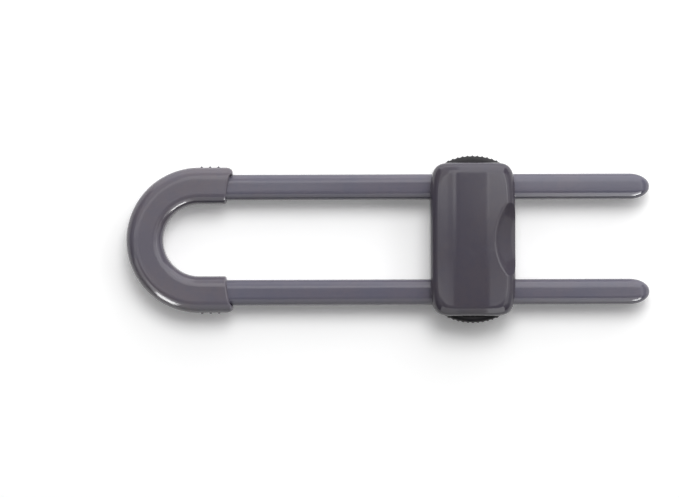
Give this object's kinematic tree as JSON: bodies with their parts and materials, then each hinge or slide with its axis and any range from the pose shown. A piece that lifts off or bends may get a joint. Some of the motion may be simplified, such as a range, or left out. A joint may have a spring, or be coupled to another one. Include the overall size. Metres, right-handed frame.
{
  "type": "cabinet slide lock",
  "caption": "U-shaped slide lock for a pair of cabinet doors: toothed legs in a rounded bow and a sliding ratchet head released by a button at each end.",
  "frame": {"origin": "on the door side of the lock, below the middle of its overall box", "axes": "+X along the legs from the bow to the tips, +Y across the legs, +Z away from the cabinet door"},
  "size_m": [0.18, 0.0576, 0.0185],
  "materials": {
    "leg_plastic": "satin grey moulded plastic",
    "bow_plastic": "satin grey moulded plastic",
    "head_plastic": "glossy dark grey moulded plastic",
    "button_plastic": "near black ribbed plastic",
    "yoke_plastic": "plain natural acetal",
    "spring_steel": "bright drawn wire",
    "screw_steel": "zinc plated"
  },
  "bodies": {
    "u_frame": {"rail_left": "leg_plastic", "rail_right": "leg_plastic", "bow_cover": "bow_plastic", "bow_base": "bow_plastic", "bow_screws": "screw_steel"},
    "lock_head": {"head_cover": "head_plastic", "head_base": "head_plastic", "head_screws": "screw_steel", "spring_left": "spring_steel", "spring_right": "spring_steel"},
    "button_left": {"button_pad_left": "button_plastic", "pawl_yoke_left": "yoke_plastic"},
    "button_right": {"button_pad_right": "button_plastic", "pawl_yoke_right": "yoke_plastic"}
  },
  "joints": [
    {"name": "head_slide", "type": "slide", "parent": "u_frame", "child": "lock_head", "axis": [1, 0, 0], "range_m": [-0.066, 0.078]},
    {"name": "button_left_press", "type": "slide", "parent": "lock_head", "child": "button_left", "axis": [0, -1, 0], "range_m": [0, 0.0019], "stiffness_N_per_m": 800, "springref_m": -0.005, "deforming": ["spring_left"]},
    {"name": "button_right_press", "type": "slide", "parent": "lock_head", "child": "button_right", "axis": [0, 1, 0], "range_m": [0, 0.0019], "stiffness_N_per_m": 800, "springref_m": -0.005, "deforming": ["spring_right"]}
  ]
}
